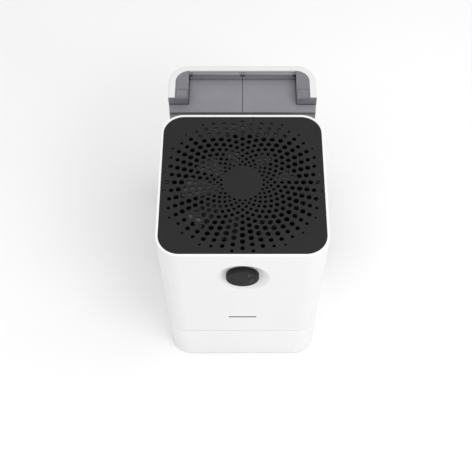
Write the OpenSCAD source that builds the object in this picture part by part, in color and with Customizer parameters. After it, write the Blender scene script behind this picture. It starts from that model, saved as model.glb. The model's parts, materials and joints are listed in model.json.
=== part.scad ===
// Dehumidifier: a square tower with a round air pattern on top, a control knob on the front
// and a water tank that draws out at the back. The tank is shown drawn out.
// Units are millimetres. The origin is the middle of the body's footprint, on the floor;
// +Z is up, the knob faces -Y and the tank leaves along +Y.

/* [Body] */
// Width and depth of the square body
body_w = 280; // [278:1:286]
// Height of the body above the floor
body_h = 406; // [404:1:416]
// Radius of the body's upright corners
corner_r = 39; // [36:1:42]
// Wall thickness of the mouldings
wall = 3; // [2.6:0.1:3.2]
// Height of the seam between the base and the tower
seam_z = 111; // [100:1:120]
// Height of the groove at that seam
seam_gap = 1.6; // [1:0.1:2]

/* [Top grille] */
// White rim left around the grille
grille_inset = 4.2; // [4:0.1:5]
// Thickness of the grille plate
grille_t = 3; // [2.5:0.1:3.5]
// Holes in each ring
holes_per_ring = 24; // [20:2:24]
// Number of rings
rings = 17; // [13:1:17]
// Radius of the innermost ring
first_ring_r = 35.6; // [35:0.1:37]
// Distance from one ring to the next
ring_step = 5.95; // [5.8:0.05:6]
// Hole diameter in the innermost rings
hole_min_d = 4.9; // [3.5:0.1:5]
// Growth of the hole diameter for each pair of rings
hole_grow = 0.83; // [0.6:0.01:0.9]
// Hole diameter in the four corners
corner_hole_d = 4.2; // [3:0.1:5]

/* [Control knob] */
// Diameter of the knob
knob_d = 55.5; // [50:0.5:56]
// How far the knob stands out of the front face
knob_proud = 1.2; // [1:0.1:4]
// Diameter of the dish around the knob
dish_d = 91; // [86:1:92]
// Depth of the dish
dish_depth = 9.4; // [8:0.2:9.4]
// Height of the knob's axis below the top of the body
knob_drop = 78.5; // [76:0.5:82]

/* [Tank] */
// How far the tank is drawn out
tank_out = 176.5; // [0:0.5:176.5]
// Height of the tank's rim
tank_top = 333.4; // [330:0.1:333.4]
// Depth of the white outer shell of the tank
ear_depth = 78.5; // [77:0.5:79]
// Depth of the grey band in front of the white shell
band_depth = 20.2; // [18:0.1:20.2]
// Depth of the container's nose in front of that band
nose_depth = 22.8; // [20:0.2:22.8]
// Width of the white rim at the sides
side_rim = 13; // [12:0.5:14]
// Width of the white rim at the back
back_rim = 13; // [12.5:0.5:14]
// Depth of the lids below the rim
lid_drop = 18.5; // [17.5:0.5:19]

/* [Fan] */
// Number of fan blades
blades = 9; // [5:1:11]
// Radius of the fan
fan_r = 102.5; // [96:0.5:103]
// Radius of the fan's hub
hub_r = 33; // [30:1:33]

/* [Hidden] */
$fn = 96;

half = body_w / 2;
inner = half - wall;
inner_r = corner_r - wall;
eps = 0.01;

// Levels, from the floor up
skirt_z = 1.4;
pan_z = 5;
pan_t = 4;
pan_top = pan_z + pan_t;
rail_top = pan_top + 8.2;
tank_z = rail_top + 0.6;
ceiling_z = tank_top + 2.2;
deck_z = ceiling_z + 16.4;
grille_z = body_h - 0.8 - grille_t;
knob_z = body_h - knob_drop;

// Depths along Y with the tank home
ear_y = half - ear_depth;
band_y = ear_y - band_depth;
nose_y = band_y - nose_depth;
bay_wall_t = 2.5;
bay_wall_y = nose_y - 2 - bay_wall_t;
ear_inner = half - side_rim;
rim_inner_y = half - back_rim;
lid_top = tank_top - lid_drop;
lid_t = 3;
deck_top = lid_top - lid_t - 0.3;
deck_t = 4.5;
container_top = deck_top - deck_t;

// Runners and the rails that hold them
rail_x = 118;
rail_gap = 11;
rail_wall = 2;
rail_front = -99;
lip_w = 2.4;
lip_t = 1.8;
runner_w = 10;
runner_z = pan_top + 0.4;
runner_top = rail_top - lip_t - 0.3;
neck_w = 5;
runner_reach = 115;

// Coils: two fin blocks side by side behind the intake
coil_front = -116;
coil_back = -2;
coil_z = 202;
coil_h = 127;
coil_t = 22;
evaporator_x = -122;
condenser_x = -94;
tube_r = 3.5;
tube_rows = 6;
tube_pitch = 21;
first_tube_z = coil_z + 11;
fin_count = 24;

// Intake opening in the left wall
intake_y = [-99, 5];
intake_z = [200, 332];

// Compressor
comp_x = 42;
comp_y = -62;
comp_r = 50;
comp_low = 30;
comp_high = 150;
mount_r = 60;
mount_angles = [90, 210, 330];
pipe_r = 4;

// Knob, its carrier and the board behind it
dish_floor = -half + dish_depth;
dish_back = dish_floor + wall;
carrier_r = 7;
stem_r = 3;
fit = 0.05;
board_y = dish_back + 10.5;
knob_back = dish_floor - 1.4;
dish_floor_r = knob_d / 2 + 2.5;

// Lid hinge
hinge_y = rim_inner_y - 4;
hinge_z = tank_top - 4.9;
knuckle_r = 3.2;
pin_r = 1.5;
lid_side = 102;
catch_y = [ear_y + 1.4, ear_y + 20.2];
pocket_y = [ear_y + 1, ear_y + 20.6];
catch_low = tank_top - 15.4;

// Drain
drain_x = -97;
drain_z = 191;
spout_r = 6;

// Float
float_x = 72;
float_pivot_y = nose_y + 12;
float_pivot_z = 170;

// Fan
deck_plate_t = 3;
shroud_r = 106;
motor_z = deck_z;
hub_z = deck_z + 19;
hub_h = 22;

// Base and deck screws
base_screw_x = 131.5;
base_screw_y = 105;
deck_screw = 116;
screw_r = 2;
head_h = 2.6;
clearance = 0.3;
foot_place = 98;

// ---- shapes used more than once ----

// Flat rounded rectangle between two corners
module plate_outline(x0, x1, y0, y1, r) {
    translate([x0 + r, y0]) square([x1 - x0 - 2 * r, y1 - y0]);
    translate([x0, y0 + r]) square([x1 - x0, y1 - y0 - 2 * r]);
    for (x = [x0 + r, x1 - r], y = [y0 + r, y1 - r]) translate([x, y]) circle(r);
}

// Upright rounded-square prism about the Z axis
module tower(half_w, r, z0, z1) {
    translate([0, 0, z0]) linear_extrude(z1 - z0) plate_outline(-half_w, half_w, -half_w, half_w, r);
}

// Box between two opposite corners
module span(low, high) {
    translate(low) cube(high - low);
}

// Straight bar of circular section from a to b
module rod(a, b, r) {
    v = b - a;
    length = norm(v);
    translate(a) rotate([0, acos(v.z / length), atan2(v.y, v.x)]) cylinder(h = length, r = r);
}

// Bent pipe through a list of points, with round elbows
module pipe(points, r) {
    for (i = [0 : len(points) - 2]) rod(points[i], points[i + 1], r);
    for (i = [1 : len(points) - 2]) translate(points[i]) sphere(r);
}

// Cylinder along Y
module y_rod(x, y0, y1, z, r) {
    translate([x, y0, z]) rotate([-90, 0, 0]) cylinder(h = y1 - y0, r = r);
}

// Everything that travels with the tank is drawn home and moved out
module drawn_out() {
    translate([0, tank_out, 0]) children();
}

// Round coil spring standing on z = 0: one tube swept along a helix
module coil_spring(r, wire_r, height, turns) {
    sides = 8;
    steps = turns * 12;
    path = [for (i = [0 : steps]) let (a = 360 * turns * i / steps)
        [r * cos(a), r * sin(a), wire_r + (height - 2 * wire_r) * i / steps]];
    ring = [for (i = [0 : steps], s = [0 : sides - 1])
        let (a = 360 * turns * i / steps, b = 360 * s / sides)
        path[i] + wire_r * [cos(b) * cos(a), cos(b) * sin(a), sin(b)]];
    skin = [for (i = [0 : steps - 1], s = [0 : sides - 1]) let (t = (s + 1) % sides)
        [i * sides + s, (i + 1) * sides + s, (i + 1) * sides + t, i * sides + t]];
    first_end = [for (s = [0 : sides - 1]) s];
    last_end = [for (s = [sides - 1 : -1 : 0]) steps * sides + s];
    polyhedron(ring, concat(skin, [first_end, last_end]));
}

// ---- outer mouldings ----

// Room cut out of the back of the walls for the tank: the band below, the white ears above
module tank_room(z0) {
    span([-half - 1, band_y - 0.6, z0], [half + 1, half + 1, lid_top + 1]);
    span([-half - 1, ear_y - 2.2, z0], [half + 1, half + 1, tank_top + 1]);
}

module deck_bracket(sx, sy) {
    intersection() {
        tower(inner + 0.5, inner_r + 0.5, deck_z - 11, deck_z);
        translate([sx * 124, sy * 124, deck_z - 5.5]) cube([36, 36, 12], center = true);
    }
}

module body_shell() {
    color("whitesmoke") difference() {
        union() {
            difference() {
                tower(half, corner_r, seam_z + seam_gap, body_h);
                tower(inner, inner_r, seam_z, grille_z - 4);
                tower(inner - 3.5, inner_r - 3.5, seam_z, body_h + 1);
                tower(half - grille_inset, corner_r - grille_inset, grille_z, body_h + 1);
            }
            // wall of the dish, bulging inwards
            translate([0, -half + wall - 1, knob_z]) rotate([-90, 0, 0])
                cylinder(h = dish_depth + 1, r1 = dish_d / 2 + 2, r2 = dish_floor_r);
            for (sx = [-1, 1], sy = [-1, 1]) deck_bracket(sx, sy);
        }
        // dish around the knob: a shallow cone down to a flat floor
        translate([0, -half, knob_z]) rotate([-90, 0, 0])
            cylinder(h = dish_depth, r1 = dish_d / 2, r2 = dish_floor_r);
        y_rod(0, -half - 1, -half + eps, knob_z, dish_d / 2);
        y_rod(0, -half, dish_back + 1, knob_z, carrier_r + fit);
        tank_room(seam_z);
        span([-half - 1, intake_y[0], intake_z[0]], [-inner + 1, intake_y[1], intake_z[1]]);
        for (sx = [-1, 1], sy = [-1, 1])
            translate([sx * deck_screw, sy * deck_screw, deck_z - 12])
                cylinder(h = 14, r = screw_r + fit);
    }
}

module base_housing() {
    block = [half - 1 - 126, 16, 6.2];
    color("white") difference() {
        union() {
            difference() {
                tower(half, corner_r, skirt_z, seam_z);
                tower(inner, inner_r, skirt_z - 1, seam_z + 1);
            }
            for (sx = [-1, 1], sy = [-1, 1])
                translate([sx * (126 + block.x / 2), sy * base_screw_y, pan_top + block.z / 2])
                    cube(block, center = true);
        }
        span([-half - 1, band_y - 0.6, pan_top + block.z + 0.6], [half + 1, half + 1, seam_z + 1]);
        span([-126, band_y, pan_top], [126, half + 1, seam_z + 1]);
        // opening for the mains inlet, in the right wall
        span([inner - 1, -84, 40], [half + 1, -56, 60]);
        for (sx = [-1, 1], sy = [-1, 1])
            translate([sx * base_screw_x, sy * base_screw_y, pan_top - 1])
                cylinder(h = 20, r = screw_r + fit);
    }
}

// Channel with two lips, open at both ends, that holds a runner
module rail() {
    outer = rail_gap / 2 + rail_wall;
    difference() {
        span([-outer, rail_front, pan_top], [outer, inner - 1, rail_top]);
        span([-rail_gap / 2, rail_front - 1, pan_top + 0.2], [rail_gap / 2, inner, rail_top - lip_t]);
        span([-rail_gap / 2 + lip_w, rail_front - 1, pan_top],
            [rail_gap / 2 - lip_w, inner, rail_top + 1]);
    }
}

module tank_rails() {
    color("silver") intersection() {
        for (s = [-1, 1]) translate([s * rail_x, 0, 0]) rail();
        tower(inner - 0.2, inner_r - 0.2, pan_top, rail_top);
    }
}

module base_pan() {
    color("dimgray") difference() {
        tower(inner - 0.2, inner_r - 0.2, pan_z, pan_top);
        for (sx = [-1, 1], sy = [-1, 1])
            translate([sx * base_screw_x, sy * base_screw_y, pan_z - 1])
                cylinder(h = 8, r = screw_r + clearance);
    }
}

// Five round pads, one in each corner and one in the middle
module feet() {
    color("black") {
        cylinder(h = pan_z, r = 14);
        for (sx = [-1, 1], sy = [-1, 1])
            translate([sx * foot_place, sy * foot_place, 0]) cylinder(h = pan_z, r = 11);
    }
}

module base_screws() {
    color("silver") for (sx = [-1, 1], sy = [-1, 1])
        translate([sx * base_screw_x, sy * base_screw_y, 0]) {
            translate([0, 0, pan_z - head_h]) cylinder(h = head_h, r = 4);
            translate([0, 0, pan_z - eps]) cylinder(h = 10, r = screw_r);
        }
}

// ---- top grille ----

// Holes grow towards the middle rings and shrink again at the edge
function hole_r(k) = let (pair = floor(k / 2))
    (hole_min_d + hole_grow * min(pair, 5) - 0.36 * pow(max(pair - 5, 0), 2)) / 2;

// Place of a hole: every second ring is turned by half a step
function hole_place(k, i) = let (a = (i + (k + 1) % 2 / 2) * 360 / holes_per_ring)
    (first_ring_r + k * ring_step) * [cos(a), sin(a)];

module grille() {
    gap = 0.3;
    w = half - grille_inset - gap;
    color([0.2, 0.2, 0.2]) translate([0, 0, grille_z]) linear_extrude(grille_t) difference() {
        plate_outline(-w, w, -w, w, corner_r - grille_inset - gap);
        for (k = [0 : rings - 1], i = [0 : holes_per_ring - 1])
            translate(hole_place(k, i)) circle(hole_r(k), $fn = 24);
        // one more ring that only fits in the corners
        for (i = [0 : holes_per_ring - 1]) {
            place = hole_place(rings, i);
            if (max(abs(place.x), abs(place.y)) < w - 12)
                translate(place) circle(corner_hole_d / 2, $fn = 24);
        }
    }
}

// ---- inner walls and fan ----

// Upright wall between machine room and tank bay, with the bay's ceiling in one piece
module bay_wall() {
    color("gainsboro") difference() {
        union() {
            span([-inner + 0.4, bay_wall_y, rail_top + 0.4],
                [inner - 0.4, bay_wall_y + bay_wall_t, ceiling_z]);
            intersection() {
                span([-inner, bay_wall_y, ceiling_z - eps], [inner, inner, ceiling_z + 2.4]);
                tower(inner - 0.4, inner_r - 0.4, 0, body_h);
            }
        }
        y_rod(drain_x, bay_wall_y - 1, bay_wall_y + 5, drain_z, spout_r + 0.4);
    }
}

module fan_deck() {
    color([0.15, 0.15, 0.16]) difference() {
        union() {
            tower(inner - 10.5, 24, deck_z, deck_z + deck_plate_t);
            translate([0, 0, deck_z]) cylinder(h = 39, r = shroud_r + 3);
        }
        translate([0, 0, deck_z - 1]) cylinder(h = 60, r = shroud_r);
        for (sx = [-1, 1], sy = [-1, 1])
            translate([sx * deck_screw, sy * deck_screw, deck_z - 1])
                cylinder(h = 5, r = screw_r + clearance);
    }
}

module deck_screws() {
    color("silver") for (sx = [-1, 1], sy = [-1, 1])
        translate([sx * deck_screw, sy * deck_screw, 0]) {
            translate([0, 0, deck_z - 9]) cylinder(h = 9 + deck_plate_t + eps, r = screw_r);
            translate([0, 0, deck_z + deck_plate_t]) cylinder(h = head_h, r = 4);
        }
}

// Four-armed bracket under the deck
module motor_mount() {
    color([0.15, 0.15, 0.16]) translate([0, 0, deck_z - 4]) {
        cylinder(h = 4, r = 36);
        for (a = [0 : 90 : 270]) rotate(a) translate([20, -6, 0]) cube([98, 12, 4]);
    }
}

module fan_motor() {
    color("silver") difference() {
        union() {
            translate([0, 0, motor_z]) cylinder(h = 15, r = 30);
            translate([0, 0, motor_z + 15 - eps]) cylinder(h = 2, r = 12);
        }
        translate([0, 0, motor_z + 5]) cylinder(h = 20, r = stem_r + fit);
    }
}

module motor_shaft() {
    color("gray") translate([0, 0, motor_z + 6])
        cylinder(h = hub_z + hub_h - motor_z - 6, r = stem_r);
}

// Curved blade: a strip of a lying tube, tilted by where it is cut
module blade() {
    bend_r = 44;
    tilt = 34;
    intersection() {
        difference() {
            cylinder(h = 18, r = fan_r);
            translate([0, 0, -1]) cylinder(h = 20, r = hub_r - 1);
        }
        translate([hub_r - 2, -bend_r * sin(tilt), 9 + bend_r * cos(tilt)]) rotate([0, 90, 0])
            difference() {
                cylinder(h = fan_r, r = bend_r + 1.1);
                translate([0, 0, -1]) cylinder(h = fan_r + 2, r = bend_r - 1.1);
            }
        span([0, -14, 0], [fan_r + 5, 14, 18]);
    }
}

module impeller() {
    color([0.12, 0.12, 0.13]) translate([0, 0, hub_z]) difference() {
        union() {
            cylinder(h = hub_h, r = hub_r);
            translate([0, 0, hub_h - eps]) cylinder(h = 2, r = 10);
            for (i = [0 : blades - 1]) rotate(i * 360 / blades) translate([0, 0, 2]) blade();
        }
        translate([0, 0, -1]) cylinder(h = hub_h - 2, r = hub_r - 3);
        translate([0, 0, hub_h - 4]) cylinder(h = 8, r = stem_r);
    }
}

// ---- compressor and refrigerant circuit ----

module at_compressor(z) {
    translate([comp_x, comp_y, z]) children();
}

module at_mounts(z) {
    for (a = mount_angles)
        translate([comp_x + mount_r * cos(a), comp_y + mount_r * sin(a), z]) children();
}

// Profile of the pot: straight wall with a domed end above and below
function dome(rise, base, steps = 6) = [for (i = [0 : steps]) let (a = 90 * i / steps)
    i < steps ? [comp_r * cos(a), base + rise * sin(a)] : [0, base + rise]];

// Steel pot with domed ends on a three-armed foot plate
module compressor() {
    plate_z = 24;
    plate_t = 3;
    foot = plate_z + plate_t - eps;
    profile = concat([[0, foot], [34, foot], [comp_r, comp_low + 8]], dome(21, comp_high));
    color([0.13, 0.13, 0.14]) at_compressor(0) {
        rotate_extrude() polygon(profile);
        translate([0, 0, plate_z]) linear_extrude(plate_t) difference() {
            union() {
                circle(40);
                for (a = mount_angles) rotate(a) {
                    translate([20, -9]) square([mount_r - 20, 18]);
                    translate([mount_r, 0]) circle(11);
                }
            }
            for (a = mount_angles) rotate(a) translate([mount_r, 0]) circle(5.2);
        }
    }
}

module terminal_cover() {
    color([0.1, 0.1, 0.1]) difference() {
        span([comp_x + 40, comp_y - 14, 98], [comp_x + comp_r + 14, comp_y + 14, 138]);
        at_compressor(90) cylinder(h = 60, r = comp_r + 0.2);
    }
}

module compressor_grommets() {
    color([0.08, 0.08, 0.08]) at_mounts(0) difference() {
        union() {
            translate([0, 0, pan_top]) cylinder(h = 24 - pan_top, r = 8);
            translate([0, 0, 24 - eps]) cylinder(h = 3 + 2 * eps, r = 5.1);
            translate([0, 0, 27]) cylinder(h = 2.5, r = 7.5);
        }
        translate([0, 0, pan_top - 1]) cylinder(h = 40, r = 3.1);
    }
}

module compressor_studs() {
    color("silver") at_mounts(pan_top) cylinder(h = 27, r = 3);
}

module compressor_nuts() {
    color("silver") at_mounts(29.5) difference() {
        union() {
            cylinder(h = 1, r = 7);
            translate([0, 0, 1 - eps]) cylinder(h = 4, r = 5, $fn = 6);
        }
        translate([0, 0, -1]) cylinder(h = 8, r = 3 + fit);
    }
}

accumulator_x = -26;
accumulator_y = -104;
module accumulator() {
    color([0.13, 0.13, 0.14]) translate([accumulator_x, accumulator_y, 0]) {
        translate([0, 0, 72]) cylinder(h = 64, r = 16);
        for (z = [72, 136]) translate([0, 0, z]) sphere(16);
    }
}

// Height of a coil tube, counted from the bottom row
function row_z(i) = first_tube_z + i * tube_pitch;
condenser_mid = condenser_x + coil_t / 2;
evaporator_mid = evaporator_x + coil_t / 2;
tube_front = coil_front - 1;

module discharge_pipe() {
    x = -40;
    y = -127;
    color("peru") pipe([[20, -92, 157], [20, -92, 178], [x, -92, 178], [x, y, 178], [x, y, row_z(5)],
        [condenser_mid, y, row_z(5)], [condenser_mid, tube_front, row_z(5)]], pipe_r);
}

module suction_pipe() {
    y = -130.8;
    color("peru") pipe([[evaporator_mid, tube_front, row_z(0)], [evaporator_mid, y, row_z(0)],
        [evaporator_mid, y, 165], [accumulator_x, y, 165], [accumulator_x, accumulator_y, 165],
        [accumulator_x, accumulator_y, 151]], pipe_r);
}

module return_pipe() {
    color("peru") pipe([[accumulator_x, accumulator_y, 57], [accumulator_x, accumulator_y, 46],
        [accumulator_x, -80, 46], [0, -80, 46]], pipe_r);
}

drier_x = -54;
drier_y = -100;
module liquid_pipe() {
    color("peru") pipe([[condenser_mid, tube_front, row_z(0)], [condenser_mid, -126, row_z(0)],
        [drier_x, -126, row_z(0)], [drier_x, drier_y, row_z(0)], [drier_x, drier_y, 221]], 3);
}

module drier() {
    color("chocolate") translate([drier_x, drier_y, 0]) {
        translate([0, 0, 228]) cylinder(h = 44, r = 9);
        for (z = [228, 272]) translate([0, 0, z]) sphere(9);
    }
}

module capillary_tube() {
    y = -133.4;
    color("peru") pipe([[drier_x, drier_y, 280], [drier_x, drier_y, 292], [drier_x, y, 292],
        [evaporator_mid, y, 292], [evaporator_mid, y, row_z(5)],
        [evaporator_mid, tube_front, row_z(5)]], 1.6);
}

// Fin block: a slotted block with the tube bores through it
module fin_block(x) {
    pitch = (coil_back - coil_front) / fin_count;
    slot = pitch * 0.55;
    web = 1;
    difference() {
        span([x, coil_front, coil_z], [x + coil_t, coil_back, coil_z + coil_h]);
        for (i = [0 : fin_count - 1], side = [-web, coil_t / 2 + web])
            translate([x + side, coil_front + (i + 0.5) * pitch - slot / 2, coil_z - 1])
                cube([coil_t / 2, slot, coil_h + 2]);
        for (i = [0 : tube_rows - 1])
            y_rod(x + coil_t / 2, coil_front - 1, coil_back + 1, row_z(i), tube_r + 0.15);
    }
}

module evaporator_fins() { color("lightgray") fin_block(evaporator_x); }
module condenser_fins() { color("silver") fin_block(condenser_x); }

// One serpentine tube: straight runs joined by half-circle bends at alternate ends
module serpentine(x) {
    for (i = [0 : tube_rows - 1]) y_rod(x, tube_front, coil_back + 1, row_z(i), tube_r);
    for (i = [0 : tube_rows - 2]) {
        front = i % 2 == 1;
        translate([x, front ? tube_front : coil_back + 1, row_z(i) + tube_pitch / 2])
            rotate([0, 0, front ? 180 : 0]) rotate([90, 0, 90]) rotate(-90)
                rotate_extrude(angle = 180) translate([tube_pitch / 2, 0]) circle(tube_r);
    }
}

module evaporator_tubes() { color("peru") serpentine(evaporator_mid); }
module condenser_tubes() { color("peru") serpentine(condenser_mid); }

// Two end plates and a top strip that hold both coils above the tray
module coil_frame() {
    x0 = evaporator_x - 2;
    x1 = condenser_x + coil_t + 2;
    tray_rim = drain_z + 7;
    color("gainsboro") difference() {
        union() {
            for (y = [coil_front - 1, coil_back + 0.2])
                span([x0, y, tray_rim], [x1, y + 0.8, coil_z + coil_h + 2]);
            span([x0, coil_front - 1, coil_z + coil_h + 0.4], [x1, coil_back + 1, coil_z + coil_h + 2]);
        }
        for (x = [evaporator_mid, condenser_mid], i = [0 : tube_rows - 1])
            y_rod(x, coil_front - 5, coil_back + 5, row_z(i), tube_r + 0.2);
    }
}

// Open tray under the coils, with its spout through the bay wall
module drip_tray() {
    x0 = evaporator_x - 4;
    x1 = condenser_x + coil_t + 4;
    y0 = coil_front - 9;
    y1 = bay_wall_y - 4;
    z0 = drain_z - 7;
    color("lightgray") difference() {
        union() {
            span([x0, y0, z0], [x1, y1, drain_z + 7 - eps]);
            y_rod(drain_x, y1 - eps, nose_y + 8, drain_z, spout_r);
        }
        span([x0 + 2, y0 + 2, z0 + 2], [x1 - 2, y1 - 2, drain_z + 8]);
        y_rod(drain_x, y1 - 6, nose_y + 9, drain_z - 0.5, spout_r - 2);
    }
}

// ---- electrical parts ----

module capacitor() {
    color("whitesmoke") translate([-66, -44, pan_top]) {
        cylinder(h = 66, r = 17.5);
        for (x = [-6, 6]) translate([x, 0, 66 - eps]) cylinder(h = 9, r = 2);
    }
}

module board_tray() {
    color("lightgray") difference() {
        span([inner - 14, -101, 196], [inner - 0.3, -2, 326]);
        span([inner - 15, -99, 198], [inner - 2.3, -4, 324]);
    }
}

module main_board() {
    x = inner - 8;
    color("darkgreen") {
        span([x, -98, 199], [x + 1.6, -5, 323]);
        // relay, transformer, filter choke and two smoothing capacitors
        span([x - 16, -96, 206], [x + eps, -70, 226]);
        span([x - 24, -60, 206], [x + eps, -28, 238]);
        span([x - 14, -96, 240], [x + eps, -76, 262]);
        for (z = [274, 296]) translate([x - 24, -84, z]) rotate([0, 90, 0])
            cylinder(h = 24 + eps, r = 8);
        // row of plug-in connectors
        for (i = [0 : 3]) span([x - 9, -62 + i * 14, 300], [x + eps, -52 + i * 14, 308]);
    }
}

// Mains inlet in the right wall of the base
module power_inlet() {
    x0 = inner - 22;
    color([0.08, 0.08, 0.08]) difference() {
        union() {
            span([x0, -83.7, 40.3], [half, -56.3, 59.7]);
            span([inner - 2.4, -88, 36], [inner - 0.2, -52, 64]);
        }
        span([x0 + 4, -81, 43], [half + 1, -59, 57]);
    }
}

module inlet_pins() {
    color("silver") for (y = [-77, -70, -63])
        span([inner - 27, y - 1, 48], [half - 5, y + 1, 52]);
}

module humidity_sensor() {
    color("darkgreen") {
        span([-110, -80, deck_z - 1.6], [-90, -68, deck_z]);
        span([-106, -78, deck_z - 5], [-96, -70, deck_z - 1.6 + eps]);
    }
}

module tank_sensor() {
    color([0.1, 0.1, 0.1]) span([float_x - 12, bay_wall_y - 8, float_pivot_z - 8],
        [float_x + 12, bay_wall_y, float_pivot_z + 8]);
}

// ---- control knob ----

module control_board() {
    color("darkgreen") difference() {
        span([-36, board_y, knob_z - 32], [36, board_y + 1.6, knob_z + 14]);
        y_rod(0, board_y - 1, board_y + 3, knob_z, carrier_r + 0.6);
    }
}

module encoder() {
    color("dimgray") difference() {
        span([-9, board_y + 1.6, knob_z - 9], [9, board_y + 12, knob_z + 9]);
        y_rod(0, board_y + 1, board_y + 4, knob_z, carrier_r + 0.6);
        y_rod(0, board_y + 3, board_y + 13, knob_z, stem_r + 0.3);
    }
}

carrier_flange_y = dish_back + 1.6;
module knob_carrier() {
    color("gainsboro") difference() {
        union() {
            y_rod(0, knob_back, board_y + 0.4, knob_z, carrier_r);
            y_rod(0, carrier_flange_y, carrier_flange_y + 1.6, knob_z, carrier_r + 4);
        }
        y_rod(0, knob_back - 1, board_y + 1, knob_z, stem_r + fit);
    }
}

module knob_spring() {
    start = carrier_flange_y + 1.6;
    color("silver") translate([0, start, knob_z]) rotate([-90, 0, 0])
        coil_spring(carrier_r + 2.2, 0.6, board_y - start, 4);
}

module knob() {
    r = knob_d / 2;
    front = -half - knob_proud;
    color([0.25, 0.25, 0.25]) {
        translate([0, front, knob_z]) rotate([-90, 0, 0]) rotate_extrude()
            polygon([[0, 0.6], [r - 4, 0.6], [r - 4, 0], [r - 2, 0], [r, 2], [r, knob_back - front],
                [0, knob_back - front]]);
        y_rod(0, knob_back - eps, board_y + 12, knob_z, stem_r);
    }
}

// Thin disc let into the front of the knob
module knob_face() {
    color([0.22, 0.22, 0.22])
        y_rod(0, -half - knob_proud + 0.1, -half - knob_proud + 0.6, knob_z, knob_d / 2 - 4.1);
}

// Three small dots on the right of the face
module knob_marks() {
    front = -half - knob_proud;
    r = 17;
    color("white") for (a = [50, -8, -36])
        y_rod(r * cos(a), front - 0.1, front + 0.1, knob_z + r * sin(a), 0.9);
}

module front_mark() {
    color([0.3, 0.3, 0.3]) span([-25, -half - 0.4, 173.6], [25, -half, 176.8]);
}

// ---- intake and filter ----

module intake_grille() {
    g = 0.4;
    y0 = intake_y[0] + g;
    y1 = intake_y[1] - g;
    z0 = intake_z[0] + g;
    z1 = intake_z[1] - g;
    t = 3.4;
    frame_w = 7;
    slats = 11;
    step = (z1 - z0 - 2 * frame_w) / slats;
    color("whitesmoke") difference() {
        span([-half, y0, z0], [-half + t, y1, z1]);
        span([-half - 1, y0 + frame_w, z0 + frame_w], [-half + t + 1, y1 - frame_w, z1 - frame_w]);
    }
    color("whitesmoke") intersection() {
        span([-half, y0 + frame_w - 1, z0 + frame_w - 1], [-half + t, y1 - frame_w + 1, z1 - frame_w + 1]);
        for (i = [0 : slats - 1]) translate([-half + t / 2, 0, z0 + frame_w + (i + 0.5) * step])
            rotate([0, 35, 0]) span([-4, y0 + frame_w - 1, -1], [4, y1 - frame_w + 1, 1]);
    }
}

module filter_frame() {
    x0 = -half + 3.4;
    color("dimgray") {
        difference() {
            span([x0, intake_y[0] + 2, intake_z[0] + 2], [x0 + 6, intake_y[1] - 2, intake_z[1] - 2]);
            span([x0 - 1, intake_y[0] + 8, intake_z[0] + 8],
                [x0 + 7, intake_y[1] - 8, intake_z[1] - 8]);
        }
        for (z = [intake_z[0] + 48, intake_z[0] + 84])
            span([x0 + 3, intake_y[0] + 8 - eps, z - 1.5], [x0 + 6, intake_y[1] - 8 + eps, z + 1.5]);
        span([x0 + 3, -49, intake_z[0] + 8 - eps], [x0 + 6, -45, intake_z[1] - 8 + eps]);
    }
}

module filter_mesh() {
    x0 = -half + 3.4;
    color("slategray") span([x0 + 1.4, intake_y[0] + 8, intake_z[0] + 8],
        [x0 + 3, intake_y[1] - 8, intake_z[1] - 8]);
}

// ---- tank ----

// Outline of the white shell, flush with the back of the tower
module shell_outline(inset_side, inset_back, front) {
    intersection() {
        translate([0, inset_side - inset_back])
            plate_outline(-half + inset_side, half - inset_side, -half, half - inset_side,
                corner_r - inset_side);
        translate([-half, front]) square([body_w, body_w]);
    }
}

module grip_recess(skin) {
    span([-46 - skin, half - 11 - skin, 282 - skin],
        [46 + skin, half + (skin > 0 ? 0 : 1), 308 + skin]);
}

module tank_shell() {
    skin = 2.6;
    color("whitesmoke") drawn_out() difference() {
        union() {
            difference() {
                translate([0, 0, tank_z]) linear_extrude(tank_top - tank_z) shell_outline(0, 0, ear_y);
                translate([0, 0, tank_z + 2.4]) linear_extrude(tank_top - 3 - tank_z - 2.4)
                    shell_outline(skin, skin, ear_y + skin);
                translate([0, 0, tank_z + 2.4]) linear_extrude(tank_top)
                    shell_outline(side_rim, back_rim, ear_y - 1);
            }
            // lip that hangs down inside the rim
            translate([0, 0, tank_top - 15]) linear_extrude(14) difference() {
                shell_outline(side_rim - 2, back_rim - 2, ear_y);
                shell_outline(side_rim, back_rim, ear_y - 1);
            }
            grip_recess(2.4);
        }
        grip_recess(0);
        shell_front_clear();
    }
}

// Nothing of the shell's floor reaches in front of the ears
module shell_front_clear() {
    span([-half, ear_y - 2, 0], [half, ear_y, tank_top + 1]);
}

// Plan of the container: nose, tapered band and rounded back part
module container_plan(t) {
    band_half = half - 0.6 - t;
    nose_half = inner - 1 - t;
    back_half = ear_inner - 0.5 - t;
    plate_outline(-back_half, back_half, nose_y + t, rim_inner_y - 0.5 - t, 26);
    polygon([[-band_half, ear_y - 0.3 - t], [-band_half + 1.6, band_y + t],
        [band_half - 1.6, band_y + t], [band_half, ear_y - 0.3 - t]]);
    plate_outline(-nose_half, nose_half, nose_y + t, band_y + 9, 8);
}

module tank() {
    skin = 2.6;
    color([0.6, 0.6, 0.63, 0.8]) drawn_out() difference() {
        translate([0, 0, tank_z + 2.5]) linear_extrude(container_top - tank_z - 2.5) container_plan(0);
        translate([0, 0, tank_z + 5.5]) linear_extrude(container_top) container_plan(skin);
        // slot in the nose for the drain spout
        span([drain_x - 14, nose_y - 1, drain_z - 12],
            [drain_x + 14, nose_y + skin + 1, drain_z + 12]);
    }
    color([0.6, 0.6, 0.63, 0.8]) drawn_out() float_lugs();
}

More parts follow.
